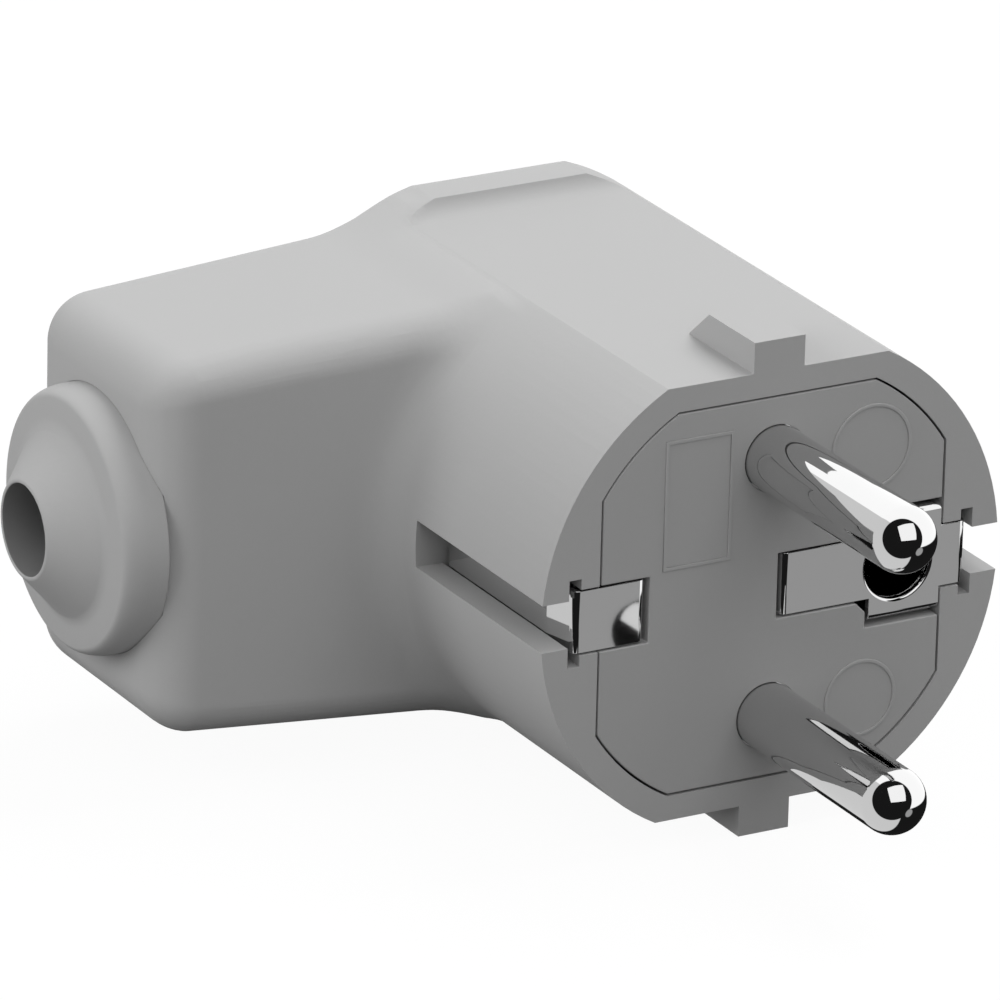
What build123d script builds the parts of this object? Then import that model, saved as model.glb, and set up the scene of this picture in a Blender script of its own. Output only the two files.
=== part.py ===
from build123d import *
import os

# Rewirable angled mains plug, all sizes in millimetres.
# Origin: centre of the front face, midway between the two pins.
# The pins point to -Y, the cable leaves along -X, +Z is up.

# head of the housing
HEAD_R = 18.15
FLAT_Z = 15.93
BACK_Y = 42.2
BACK_ROUND = 2.0
BACK_WALL = 2.5

# raised lip at the back of both flats
LIP_STEP = 1.15
LIP_DEPTH = 4.6
LIP_RUN = 1.7

# guide ribs on the two flats
RIB_W = 4.0
RIB_RISE = 2.27
RIB_LEN = 6.2
RIB_SLOPE = 2.65
RIB_SINK = 1.0

# neck towards the cable: it narrows to its end and swells into the flats of the head
NECK_REACH = 35.8
NECK_END_DEPTH = 20.0
NECK_ROOT_DEPTH = 22.4
NECK_END_HALF = 13.6
NECK_SWELL_X = 14.5
NECK_SWELL_DROP = 0.7
NECK_ROOT_X = 8.0
NECK_ROOT_INSET = 0.2
NECK_EDGE_R = 2.7
NECK_BACK_R = 3.6
NECK_BACK_STEP = 0.15
NECK_BLEND_R = 1.6
NECK_WALL = 2.4

# contact carrier, flush in the front of the head
CARRIER_R = 15.98
CARRIER_HALF_Z = 13.96
CARRIER_HALF_X = 13.49
CARRIER_T = 8.0
SEAM_GAP = 0.15
LEDGE_R = 1.18
LEDGE_Z = 0.66
LEDGE_X = 0.89

# line pins and their screw terminals
PIN_R = 2.4
PIN_REACH = 19.0
PIN_HALF_PITCH = 9.5
PIN_FIT = 0.05
PIN_SEAT_R = 2.6
PIN_SEAT_RISE = 0.1
COLLAR_R = 3.2
COLLAR_Y = 5.0
COLLAR_LEN = 11.0
WIRE_HOLE_R = 1.6
WIRE_HOLE_BACK = 3.5
LEAF_T = 0.3
LEAF_W = 2.4
LEAF_RISE = 0.5
LEAF_LEN = 5.6
TERMINAL_SCREW_R = 1.25
TERMINAL_HEAD_R = 2.3
TERMINAL_HEAD_H = 2.0
THREAD_FIT = 0.05
SLOT_W = 0.8
SLOT_DEPTH = 1.0

# earth strap, bent from one strip; its side contacts lean inwards at the front
STRAP_T = 0.5
STRAP_W = 4.56
STRAP_FACE_Y = 0.1
STRAP_OUT_X = 15.93
STRAP_LEAD_IN = 0.36
STRAP_LEAD_Y = 3.2
STRAP_BACK_Y = 16.9
STRAP_BEND_R = 0.3
WING_W = 6.2
WING_END_GAP = 0.35
TUCK_END_Y = 3.6
LEFT_TUCK_X = 10.4
TONGUE_X = 0.78
TEE_HALF_Z = 4.0
TEE_START_X = 7.9
TEE_END_X = 13.57
TEE_FLANGE_Y = 3.0

# windows in the carrier face, and the side slots for the strap
WINDOW_DEPTH = 4.0
WINDOW_GAP = 0.14
LEFT_WINDOW_GAP = 0.72
TONGUE_WINDOW_GAP = 0.33
TEE_WINDOW_GAP = 0.35
TEE_SIDE_GAP = 0.3
TEE_CHAMFER = 0.75
NOTCH_W = 3.46
SLOT_END_GAP = 0.3
GROOVE_FIT = 0.07
GROOVE_BACK = 0.37
GROOVE_SIDE = 0.1
SEAT_SLOT_X = 12.0

# hole for the earth pin of a socket, with its contact sleeve
SOCKET_X = 10.14
SOCKET_R = 2.6
SLEEVE_WALL = 0.4
SLEEVE_COLLAR_R = 3.35
SLEEVE_COLLAR_T = 0.5
SLEEVE_END_GAP = 0.4
SLEEVE_SLIT_W = 0.6
SLEEVE_SLIT_LEN = 7.5
SLEEVE_FIT = 0.06

# earth terminal on the strap
EARTH_X = 8.0
EARTH_SCREW_R = 1.5
EARTH_HEAD_R = 2.6
EARTH_HEAD_H = 2.0
EARTH_SCREW_LEN = 5.0
EARTH_PLATE = 5.6
EARTH_PLATE_T = 0.8
NUT_W = 5.4
NUT_T = 2.4
NUT_FIT = 0.05
NUT_BLOCK = 7.6
HOLE_FIT = 0.2

# rear fixing screw with its washer and threaded insert
FIXING_R = 1.5
FIXING_HEAD_R = 2.75
FIXING_HEAD_H = 2.2
FIXING_TIP_GAP = 0.6
COUNTERBORE_R = 3.1
COUNTERBORE_DEPTH = 4.8
WASHER_T = 0.6
WASHER_R = 2.9
PILLAR_R = 4.2
CARRIER_PILLAR_R = 3.8
INSERT_R = 2.5
INSERT_LEN = 6.7
INSERT_FIT = 0.02

# cable bushing
BUSHING_BACK = 10.4
BUSHING_BORE_R = 3.3
NOSE_RIM = 0.24
NOSE_LEN = 2.98
NOSE_SINK = 0.1
NOSE_BASE_R = 6.85
FLANGE_R = 9.6
FLANGE_ROUND = 2.1
FLANGE_PROUD = 2.7
FLANGE_INLET = 0.9
TUBE_R = 6.8
TUBE_FIT = 0.05
FLANGE_FIT = 0.03
BARB_R = 7.3
BARB_LEN = 1.5
BARB_TAPER = 1.9
BARB_TIP_R = 6.2

# cord clamp inside the head
CLAMP_X = 9.5
CLAMP_HALF_PITCH = 8.4
CLAMP_POST_R = 2.8
CLAMP_SEAT_RISE = 3.4
CLAMP_BAR_T = 2.8
CLAMP_BAR_W = 5.0
CLAMP_BAR_END = 2.6
CLAMP_SCREW_R = 1.4
CLAMP_SCREW_LEN = 12.0
CLAMP_HEAD_R = 2.4
CLAMP_HEAD_H = 2.0
CORD_R = 4.2
SADDLE_W = 3.0
SADDLE_HALF = 5.0
SADDLE_RISE = 3.2

# sizes that follow from the ones above
LIP_Z = FLAT_Z + LIP_STEP
LIP_Y = BACK_Y - LIP_DEPTH
LIP_FOOT_Y = LIP_Y - LIP_RUN
RIB_Z = FLAT_Z + RIB_RISE
CAVITY_R = CARRIER_R - LEDGE_R
CAVITY_HALF_Z = CARRIER_HALF_Z - LEDGE_Z
CAVITY_HALF_X = CARRIER_HALF_X - LEDGE_X
CAVITY_END_Y = BACK_Y - BACK_WALL
ROOT_Z = FLAT_Z - NECK_ROOT_INSET
SWELL_Z = ROOT_Z - NECK_SWELL_DROP
NECK_BACK_Y = BACK_Y - NECK_BACK_STEP
COLLAR_END_Y = COLLAR_Y + COLLAR_LEN
WIRE_HOLE_Y = COLLAR_END_Y - WIRE_HOLE_BACK
LEG_X = STRAP_OUT_X - STRAP_T / 2
FRONT_X = LEG_X - STRAP_LEAD_IN
FACE_MID_Y = STRAP_FACE_Y + STRAP_T / 2
CROSS_MID_Y = STRAP_BACK_Y + STRAP_T / 2
CROSS_END_Y = STRAP_BACK_Y + STRAP_T
WING_END_Y = STRAP_BACK_Y - WING_END_GAP
SLOT_END_Y = CROSS_END_Y + SLOT_END_GAP
GROOVE_OUT_X = STRAP_OUT_X + GROOVE_FIT
GROOVE_IN_X = STRAP_OUT_X - STRAP_T - GROOVE_BACK
GROOVE_W = WING_W + 2 * GROOVE_SIDE
WINDOW_HALF_Z = STRAP_W / 2 + WINDOW_GAP
LEFT_WINDOW_X = LEFT_TUCK_X - LEFT_WINDOW_GAP
TONGUE_WINDOW_X = TONGUE_X - TONGUE_WINDOW_GAP
TEE_WINDOW_X = TEE_START_X - TEE_SIDE_GAP
TEE_WINDOW_HALF_Z = TEE_HALF_Z + TEE_WINDOW_GAP
SLEEVE_R = SOCKET_R + SLEEVE_WALL
SLEEVE_START_Y = STRAP_FACE_Y + STRAP_T
SLEEVE_END_Y = STRAP_BACK_Y - SLEEVE_END_GAP
SLEEVE_SLIT_Y = SLEEVE_END_Y - SLEEVE_SLIT_LEN
LEAF_Y = WIRE_HOLE_Y + LEAF_RISE
EARTH_SEAT_Y = CROSS_END_Y + EARTH_PLATE_T
INSERT_Y = STRAP_BACK_Y - INSERT_LEN
FIXING_TIP_Y = INSERT_Y + FIXING_TIP_GAP
FIXING_SEAT_Y = BACK_Y - COUNTERBORE_DEPTH
BUSHING_Y = BACK_Y - BUSHING_BACK
CLAMP_SEAT_Y = BUSHING_Y - CLAMP_SEAT_RISE
CLAMP_BAR_Y = CLAMP_SEAT_Y - CLAMP_BAR_T
CLAMP_BAR_HALF = CLAMP_HALF_PITCH + CLAMP_BAR_END
SADDLE_Y = BUSHING_Y + SADDLE_RISE
FLANGE_SEAT = NECK_REACH - FLANGE_INLET
FLANGE_FRONT = NECK_REACH + FLANGE_PROUD
FLANGE_MID = FLANGE_FRONT - FLANGE_ROUND
NOSE_BASE_REACH = FLANGE_FRONT - NOSE_SINK
NOSE_REACH = NOSE_BASE_REACH + NOSE_LEN
TUBE_END = NECK_REACH - NECK_WALL
CUT = 1.0
TOUCH = 0.02

os.makedirs("parts", exist_ok=True)


def neck_depth(reach):
    """Depth of the neck, measured forward from the back plane."""
    return NECK_ROOT_DEPTH + (NECK_END_DEPTH - NECK_ROOT_DEPTH) * reach / NECK_REACH


def neck_half(reach):
    """Half height of the straight part of the neck at a distance from the pin axis."""
    share = (reach - NECK_SWELL_X) / (NECK_REACH - NECK_SWELL_X)
    return SWELL_Z + (NECK_END_HALF - SWELL_Z) * share


def front_edges(edges):
    """Long edges of the neck body along its front."""
    return edges.filter_by(
        lambda edge: edge.center().X < -NECK_ROOT_X - TOUCH
        and edge.center().X > -NECK_REACH + TOUCH
        and edge.center().Y < BACK_Y - NECK_END_DEPTH / 2
    )


def rear_edges(edges):
    """Edges at the cable end of the neck body and along its back."""
    return edges.filter_by(
        lambda edge: edge.center().X < -NECK_REACH + TOUCH
        or edge.center().X < -NECK_ROOT_X - TOUCH
        and edge.center().Y > NECK_BACK_Y - TOUCH
    )


def junction_edges(edges):
    """Curves where the neck leaves the round flank of the head."""
    found = []
    for edge in edges.filter_by(GeomType.BSPLINE):
        mid = edge.position_at(0.5)
        on_flank = abs((mid.X**2 + mid.Z**2) ** 0.5 - HEAD_R) < TOUCH
        if on_flank and mid.X < 0 and abs(mid.Z) < FLAT_Z and mid.Y < LIP_FOOT_Y and edge.length > CUT:
            found.append(edge)
    return found


# Neck body: its plan and its side view, both drawn in full and intersected.
with BuildPart() as neck_body:
    with BuildSketch(Plane.XZ.offset(-NECK_BACK_Y)):
        with BuildLine():
            Polyline(
                (-NECK_ROOT_X, 0),
                (-NECK_REACH, 0),
                (-NECK_REACH, NECK_END_HALF),
                (-NECK_SWELL_X, SWELL_Z),
            )
            TangentArc(
                (-NECK_SWELL_X, SWELL_Z),
                (-NECK_ROOT_X, ROOT_Z),
                tangent=(NECK_REACH - NECK_SWELL_X, SWELL_Z - NECK_END_HALF),
            )
            Line((-NECK_ROOT_X, ROOT_Z), (-NECK_ROOT_X, 0))
        make_face()
        mirror(about=Plane.XZ)
    extrude(amount=NECK_ROOT_DEPTH)
    with BuildSketch(Plane.XY):
        with BuildLine():
            Polyline(
                (0, BACK_Y),
                (-NECK_REACH, BACK_Y),
                (-NECK_REACH, BACK_Y - NECK_END_DEPTH),
                (0, BACK_Y - NECK_ROOT_DEPTH),
                (0, BACK_Y),
            )
        make_face()
    extrude(amount=HEAD_R, both=True, mode=Mode.INTERSECT)
    fillet(front_edges(neck_body.edges()), NECK_EDGE_R)
    fillet(rear_edges(neck_body.edges()), NECK_BACK_R)

# Housing: one moulded shell, a round head with two flats and a neck for the cable.
with BuildPart() as housing:
    with BuildSketch(Plane.XY):
        with BuildLine():
            Polyline((0, BACK_Y), (0, 0), (HEAD_R, 0), (HEAD_R, BACK_Y - BACK_ROUND))
            RadiusArc((HEAD_R, BACK_Y - BACK_ROUND), (HEAD_R - BACK_ROUND, BACK_Y), -BACK_ROUND)
            Line((HEAD_R - BACK_ROUND, BACK_Y), (0, BACK_Y))
        make_face()
    revolve(axis=Axis.Y)
    with BuildSketch(Plane.YZ):
        with BuildLine():
            Polyline((0, 0), (0, FLAT_Z), (LIP_FOOT_Y, FLAT_Z))
            TangentArc((LIP_FOOT_Y, FLAT_Z), (LIP_Y, LIP_Z), tangent=(1, 0))
            Line((LIP_Y, LIP_Z), (BACK_Y - BACK_ROUND, LIP_Z))
            RadiusArc((BACK_Y - BACK_ROUND, LIP_Z), (BACK_Y, LIP_Z - BACK_ROUND), BACK_ROUND)
            Polyline((BACK_Y, LIP_Z - BACK_ROUND), (BACK_Y, 0), (0, 0))
        make_face()
        mirror(about=Plane.XZ)
    extrude(amount=HEAD_R + CUT, both=True, mode=Mode.INTERSECT)
    add(neck_body.part)
    fillet(junction_edges(housing.edges()), NECK_BLEND_R)
    with BuildSketch(Plane.YZ):
        with BuildLine():
            Polyline(
                (0, FLAT_Z - RIB_SINK),
                (0, RIB_Z),
                (RIB_LEN, RIB_Z),
                (RIB_LEN + RIB_SLOPE, FLAT_Z),
                (RIB_LEN + RIB_SLOPE, FLAT_Z - RIB_SINK),
                (0, FLAT_Z - RIB_SINK),
            )
        make_face()
        mirror(about=Plane.XZ)
    extrude(amount=RIB_W / 2, both=True)
    # seat of the carrier and the cavity behind it
    with BuildSketch(Plane.XZ):
        Circle(CARRIER_R + SEAM_GAP)
        Rectangle(2 * (CARRIER_HALF_X + SEAM_GAP), 2 * (CARRIER_HALF_Z + SEAM_GAP), mode=Mode.INTERSECT)
    extrude(amount=-CARRIER_T, mode=Mode.SUBTRACT)
    with BuildSketch(Plane.XZ):
        Circle(CAVITY_R)
        Rectangle(2 * CAVITY_HALF_X, 2 * CAVITY_HALF_Z, mode=Mode.INTERSECT)
    extrude(amount=-CAVITY_END_Y, mode=Mode.SUBTRACT)
    # cavity of the neck, one wall inside its outer faces
    with BuildSketch(Plane.YZ.offset(-TUBE_END)):
        with Locations((CAVITY_END_Y - (neck_depth(TUBE_END) - NECK_WALL - BACK_WALL) / 2, 0)):
            Rectangle(neck_depth(TUBE_END) - NECK_WALL - BACK_WALL, 2 * (neck_half(TUBE_END) - NECK_WALL))
    with BuildSketch(Plane.YZ):
        with Locations((CAVITY_END_Y - (neck_depth(0) - NECK_WALL - BACK_WALL) / 2, 0)):
            Rectangle(neck_depth(0) - NECK_WALL - BACK_WALL, 2 * (neck_half(0) - NECK_WALL))
    loft(mode=Mode.SUBTRACT)
    # side notches, grooves for the strap and its way in from the front
    with BuildSketch(Plane.XZ):
        Rectangle(2 * (HEAD_R + CUT), NOTCH_W)
        Rectangle(2 * LEG_X, NOTCH_W, mode=Mode.SUBTRACT)
        Rectangle(2 * GROOVE_OUT_X, GROOVE_W)
        Rectangle(2 * GROOVE_IN_X, GROOVE_W, mode=Mode.SUBTRACT)
        Rectangle(2 * LEG_X, 2 * WINDOW_HALF_Z)
        Rectangle(2 * SEAT_SLOT_X, 2 * WINDOW_HALF_Z, mode=Mode.SUBTRACT)
    extrude(amount=-SLOT_END_Y, mode=Mode.SUBTRACT)
    # pillar for the rear fixing screw
    with BuildSketch(Plane.XZ.offset(-CROSS_END_Y)):
        Circle(PILLAR_R)
    extrude(amount=-(CAVITY_END_Y - CROSS_END_Y))
    with BuildSketch(Plane.XZ.offset(-CROSS_END_Y)):
        Circle(FIXING_R + HOLE_FIT)
    extrude(amount=-(BACK_Y - CROSS_END_Y), mode=Mode.SUBTRACT)
    with BuildSketch(Plane.XZ.offset(-BACK_Y)):
        Circle(COUNTERBORE_R)
    extrude(amount=COUNTERBORE_DEPTH, mode=Mode.SUBTRACT)
    # posts and saddle of the cord clamp
    with BuildSketch(Plane.XZ.offset(-CLAMP_SEAT_Y)):
        with Locations((-CLAMP_X, CLAMP_HALF_PITCH), (-CLAMP_X, -CLAMP_HALF_PITCH)):
            Circle(CLAMP_POST_R)
    extrude(amount=-(CAVITY_END_Y - CLAMP_SEAT_Y))
    with BuildSketch(Plane.XZ.offset(-CLAMP_SEAT_Y)):
        with Locations((-CLAMP_X, CLAMP_HALF_PITCH), (-CLAMP_X, -CLAMP_HALF_PITCH)):
            Circle(CLAMP_SCREW_R + THREAD_FIT)
    extrude(amount=-(CLAMP_SCREW_LEN - CLAMP_BAR_T + CUT), mode=Mode.SUBTRACT)
    with BuildSketch(Plane.XZ.offset(-SADDLE_Y)):
        with Locations((-CLAMP_X, 0)):
            Rectangle(SADDLE_W, 2 * SADDLE_HALF)
    extrude(amount=-(CAVITY_END_Y - SADDLE_Y))
    with BuildSketch(Plane.YZ.offset(-CLAMP_X)):
        with Locations((BUSHING_Y, 0)):
            Circle(CORD_R)
    extrude(amount=SADDLE_W, both=True, mode=Mode.SUBTRACT)
    # seat and hole for the bushing in the end wall
    with BuildSketch(Plane.YZ.offset(-NECK_REACH)):
        with Locations((BUSHING_Y, 0)):
            Circle(FLANGE_R + FLANGE_FIT)
    extrude(amount=NECK_REACH - FLANGE_SEAT, mode=Mode.SUBTRACT)
    with BuildSketch(Plane.YZ.offset(-NECK_REACH)):
        with Locations((BUSHING_Y, 0)):
            Circle(TUBE_R + TUBE_FIT)
    extrude(amount=NECK_WALL, mode=Mode.SUBTRACT)
housing.part.label = "housing"
export_step(housing.part, "parts/housing.step")

# Contact carrier: the moulded front insert that holds pins, strap and sleeve.
with BuildPart() as contact_carrier:
    with BuildSketch(Plane.XZ):
        Circle(CARRIER_R)
        Rectangle(2 * CARRIER_HALF_X, 2 * CARRIER_HALF_Z, mode=Mode.INTERSECT)
    extrude(amount=-CARRIER_T)
    with BuildSketch(Plane.XZ.offset(-CARRIER_T)):
        Circle(CARRIER_PILLAR_R)
        with Locations((-EARTH_X, 0)):
            Rectangle(NUT_BLOCK, NUT_BLOCK)
    extrude(amount=-(STRAP_BACK_Y - CARRIER_T))
    # pin holes with the wider seat of the collar
    with BuildSketch(Plane.XZ):
        with Locations((0, PIN_HALF_PITCH), (0, -PIN_HALF_PITCH)):
            Circle(PIN_SEAT_R + PIN_FIT)
    extrude(amount=-CARRIER_T, mode=Mode.SUBTRACT)
    with BuildSketch(Plane.XZ.offset(-COLLAR_Y)):
        with Locations((0, PIN_HALF_PITCH), (0, -PIN_HALF_PITCH)):
            Circle(COLLAR_R + PIN_FIT)
    extrude(amount=-(CARRIER_T - COLLAR_Y), mode=Mode.SUBTRACT)
    # window of the left contact plate
    with BuildSketch(Plane.XZ):
        with Locations((-LEFT_WINDOW_X, 0)):
            Rectangle(CARRIER_R, 2 * WINDOW_HALF_Z, align=(Align.MAX, Align.CENTER))
    extrude(amount=-WINDOW_DEPTH, mode=Mode.SUBTRACT)
    # stepped window of the right contact plate
    with BuildSketch(Plane.XZ):
        with Locations((TONGUE_WINDOW_X, 0)):
            Rectangle(CARRIER_R, 2 * WINDOW_HALF_Z, align=(Align.MIN, Align.CENTER))
        with BuildLine():
            Polyline(
                (TEE_WINDOW_X - TEE_CHAMFER, 0),
                (TEE_WINDOW_X - TEE_CHAMFER, WINDOW_HALF_Z),
                (TEE_WINDOW_X, WINDOW_HALF_Z + TEE_CHAMFER),
                (TEE_WINDOW_X, TEE_WINDOW_HALF_Z),
                (CARRIER_R, TEE_WINDOW_HALF_Z),
                (CARRIER_R, 0),
                (TEE_WINDOW_X - TEE_CHAMFER, 0),
            )
        make_face()
        mirror(about=Plane.XZ)
    extrude(amount=-WINDOW_DEPTH, mode=Mode.SUBTRACT)
    with BuildSketch(Plane.XZ):
        with Locations((SOCKET_X, 0)):
            Circle(SLEEVE_R + SLEEVE_FIT)
    extrude(amount=-CARRIER_T, mode=Mode.SUBTRACT)
    # pocket of the threaded insert
    with BuildSketch(Plane.XZ.offset(-STRAP_BACK_Y)):
        Circle(INSERT_R + INSERT_FIT)
    extrude(amount=STRAP_BACK_Y - INSERT_Y, mode=Mode.SUBTRACT)
    # pocket of the earth nut, with room for the tip of its screw
    with BuildSketch(Plane.XZ.offset(-STRAP_BACK_Y)):
        with Locations((-EARTH_X, 0)):
            Rectangle(NUT_W + 2 * NUT_FIT, NUT_W + 2 * NUT_FIT)
    extrude(amount=NUT_T, mode=Mode.SUBTRACT)
    with BuildSketch(Plane.XZ.offset(-STRAP_BACK_Y)):
        with Locations((-EARTH_X, 0)):
            Circle(EARTH_SCREW_R + HOLE_FIT)
    extrude(amount=EARTH_SCREW_LEN, mode=Mode.SUBTRACT)
contact_carrier.part.label = "contact_carrier"
export_step(contact_carrier.part, "parts/contact_carrier.step")

# Line pin: turned, round tip in front, collar with wire hole and screw thread behind.
with BuildPart() as live_pin:
    with BuildSketch(Plane.XY):
        with BuildLine():
            Polyline(
                (0, PIN_R - PIN_REACH),
                (0, COLLAR_END_Y),
                (COLLAR_R, COLLAR_END_Y),
                (COLLAR_R, COLLAR_Y),
                (PIN_SEAT_R, COLLAR_Y),
                (PIN_SEAT_R, -PIN_SEAT_RISE),
                (PIN_R, -PIN_SEAT_RISE),
                (PIN_R, PIN_R - PIN_REACH),
            )
            RadiusArc((PIN_R, PIN_R - PIN_REACH), (0, -PIN_REACH), PIN_R)
            Line((0, -PIN_REACH), (0, PIN_R - PIN_REACH))
        make_face()
    revolve(axis=Axis.Y)
    with BuildSketch(Plane.YZ):
        with Locations((WIRE_HOLE_Y, 0)):
            Circle(WIRE_HOLE_R)
    extrude(amount=COLLAR_R + CUT, both=True, mode=Mode.SUBTRACT)
    with BuildSketch(Plane.XZ.offset(-COLLAR_END_Y)):
        Circle(TERMINAL_SCREW_R + THREAD_FIT)
    extrude(amount=COLLAR_END_Y - WIRE_HOLE_Y, mode=Mode.SUBTRACT)

# Terminal screw, drawn on the axis of its pin; its tip meets the wire leaf.
with BuildPart() as terminal_screw:
    with BuildSketch(Plane.XZ.offset(-(LEAF_Y + LEAF_T))):
        Circle(TERMINAL_SCREW_R)
    extrude(amount=-(COLLAR_END_Y - LEAF_Y - LEAF_T))
    with BuildSketch(Plane.XZ.offset(-COLLAR_END_Y)):
        Circle(TERMINAL_HEAD_R)
    extrude(amount=-TERMINAL_HEAD_H)
    with BuildSketch(Plane.XZ.offset(-(COLLAR_END_Y + TERMINAL_HEAD_H))):
        Rectangle(2 * TERMINAL_HEAD_R + CUT, SLOT_W)
    extrude(amount=SLOT_DEPTH, mode=Mode.SUBTRACT)

# Wire leaf: thin strip between the screw tip and the strands of the wire.
with BuildPart() as wire_leaf:
    with BuildSketch(Plane.XZ.offset(-LEAF_Y)):
        Rectangle(LEAF_LEN, LEAF_W)
    extrude(amount=-LEAF_T)

# The three terminal pieces stand on both pin axes.
for name, side in (("live", 1), ("neutral", -1)):
    shift = Location((0, 0, side * PIN_HALF_PITCH))
    for piece, kind in ((live_pin, "pin"), (terminal_screw, "terminal_screw"), (wire_leaf, "wire_leaf")):
        placed = piece.part.moved(shift)
        placed.label = name + "_" + kind
        export_step(placed, "parts/" + placed.label + ".step")

# Earth strap: both front plates, both side contacts and the bar behind the carrier.
with BuildPart() as earth_strap:
    with BuildSketch(Plane.XY):
        with BuildLine() as strip:
            FilletPolyline(
                (-LEFT_TUCK_X + STRAP_T / 2, TUCK_END_Y),
                (-LEFT_TUCK_X + STRAP_T / 2, FACE_MID_Y),
                (-FRONT_X, FACE_MID_Y),
                (-LEG_X, STRAP_LEAD_Y),
                (-LEG_X, CROSS_MID_Y),
                (LEG_X, CROSS_MID_Y),
                (LEG_X, STRAP_LEAD_Y),
                (FRONT_X, FACE_MID_Y),
                (TONGUE_X + STRAP_T / 2, FACE_MID_Y),
                (TONGUE_X + STRAP_T / 2, TUCK_END_Y),
                radius=STRAP_BEND_R,
            )
        trace(line_width=STRAP_T)
    extrude(amount=STRAP_W / 2, both=True)
    with BuildSketch(Plane.XZ.offset(-(STRAP_LEAD_Y + STRAP_T))):
        with Locations((-LEG_X, 0), (LEG_X, 0)):
            Rectangle(STRAP_T, WING_W)
    extrude(amount=-(WING_END_Y - STRAP_LEAD_Y - STRAP_T))
    # cross piece of the right plate, its long edges folded back
    with BuildSketch(Plane.YZ.offset(TEE_START_X)):
        with BuildLine() as fold:
            FilletPolyline(
                (TEE_FLANGE_Y, TEE_HALF_Z - STRAP_T / 2),
                (FACE_MID_Y, TEE_HALF_Z - STRAP_T / 2),
                (FACE_MID_Y, -(TEE_HALF_Z - STRAP_T / 2)),
                (TEE_FLANGE_Y, -(TEE_HALF_Z - STRAP_T / 2)),
                radius=STRAP_BEND_R,
            )
        trace(line_width=STRAP_T)
    extrude(amount=TEE_END_X - TEE_START_X)
    with BuildSketch(Plane.XZ):
        with Locations((SOCKET_X, 0)):
            Circle(SOCKET_R)
    extrude(amount=-(STRAP_FACE_Y + STRAP_T), mode=Mode.SUBTRACT)
    with BuildSketch(Plane.XZ.offset(-STRAP_BACK_Y)):
        Circle(FIXING_R + HOLE_FIT)
        with Locations((-EARTH_X, 0)):
            Circle(EARTH_SCREW_R + HOLE_FIT)
    extrude(amount=-STRAP_T, mode=Mode.SUBTRACT)
earth_strap.part.label = "earth_strap"
export_step(earth_strap.part, "parts/earth_strap.step")

# Earth sleeve: spring tube behind the hole of the right plate, slit at its rear.
with BuildPart() as earth_sleeve:
    with BuildSketch(Plane.XZ.offset(-SLEEVE_START_Y)):
        with Locations((SOCKET_X, 0)):
            Circle(SLEEVE_R)
    extrude(amount=-(SLEEVE_END_Y - SLEEVE_START_Y))
    with BuildSketch(Plane.XZ.offset(-SLEEVE_START_Y)):
        with Locations((SOCKET_X, 0)):
            Circle(SLEEVE_COLLAR_R)
    extrude(amount=-SLEEVE_COLLAR_T)
    with BuildSketch(Plane.XZ.offset(-SLEEVE_START_Y)):
        with Locations((SOCKET_X, 0)):
            Circle(SOCKET_R)
    extrude(amount=-(SLEEVE_END_Y - SLEEVE_START_Y), mode=Mode.SUBTRACT)
    with BuildSketch(Plane.XZ.offset(-SLEEVE_SLIT_Y)):
        with Locations((SOCKET_X, 0)):
            Rectangle(2 * SLEEVE_R + CUT, SLEEVE_SLIT_W)
    extrude(amount=-(SLEEVE_END_Y - SLEEVE_SLIT_Y), mode=Mode.SUBTRACT)
earth_sleeve.part.label = "earth_sleeve"
export_step(earth_sleeve.part, "parts/earth_sleeve.step")

# Square clamp plate that presses the earth wire on the strap.
with BuildPart() as earth_clamp_plate:
    with BuildSketch(Plane.XZ.offset(-CROSS_END_Y)):
        with Locations((-EARTH_X, 0)):
            Rectangle(EARTH_PLATE, EARTH_PLATE)
            Circle(EARTH_SCREW_R + HOLE_FIT, mode=Mode.SUBTRACT)
    extrude(amount=-EARTH_PLATE_T)
earth_clamp_plate.part.label = "earth_clamp_plate"
export_step(earth_clamp_plate.part, "parts/earth_clamp_plate.step")

# Earth terminal screw.
with BuildPart() as earth_terminal_screw:
    with BuildSketch(Plane.XZ.offset(-EARTH_SEAT_Y)):
        with Locations((-EARTH_X, 0)):
            Circle(EARTH_SCREW_R)
    extrude(amount=EARTH_SCREW_LEN)
    with BuildSketch(Plane.XZ.offset(-EARTH_SEAT_Y)):
        with Locations((-EARTH_X, 0)):
            Circle(EARTH_HEAD_R)
    extrude(amount=-EARTH_HEAD_H)
    with BuildSketch(Plane.XZ.offset(-(EARTH_SEAT_Y + EARTH_HEAD_H))):
        with Locations((-EARTH_X, 0)):
            Rectangle(2 * EARTH_HEAD_R + CUT, SLOT_W)
    extrude(amount=SLOT_DEPTH, mode=Mode.SUBTRACT)
earth_terminal_screw.part.label = "earth_terminal_screw"
export_step(earth_terminal_screw.part, "parts/earth_terminal_screw.step")

# Square nut under the strap, held against turning by its pocket.
with BuildPart() as earth_nut:
    with BuildSketch(Plane.XZ.offset(-STRAP_BACK_Y)):
        with Locations((-EARTH_X, 0)):
            Rectangle(NUT_W, NUT_W)
            Circle(EARTH_SCREW_R + THREAD_FIT, mode=Mode.SUBTRACT)
    extrude(amount=NUT_T)
earth_nut.part.label = "earth_nut"
export_step(earth_nut.part, "parts/earth_nut.step")

# Threaded insert in the pillar of the carrier.
with BuildPart() as threaded_insert:
    with BuildSketch(Plane.XZ.offset(-INSERT_Y)):
        Circle(INSERT_R)
        Circle(FIXING_R + THREAD_FIT, mode=Mode.SUBTRACT)
    extrude(amount=-(STRAP_BACK_Y - INSERT_Y))
threaded_insert.part.label = "threaded_insert"
export_step(threaded_insert.part, "parts/threaded_insert.step")

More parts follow.
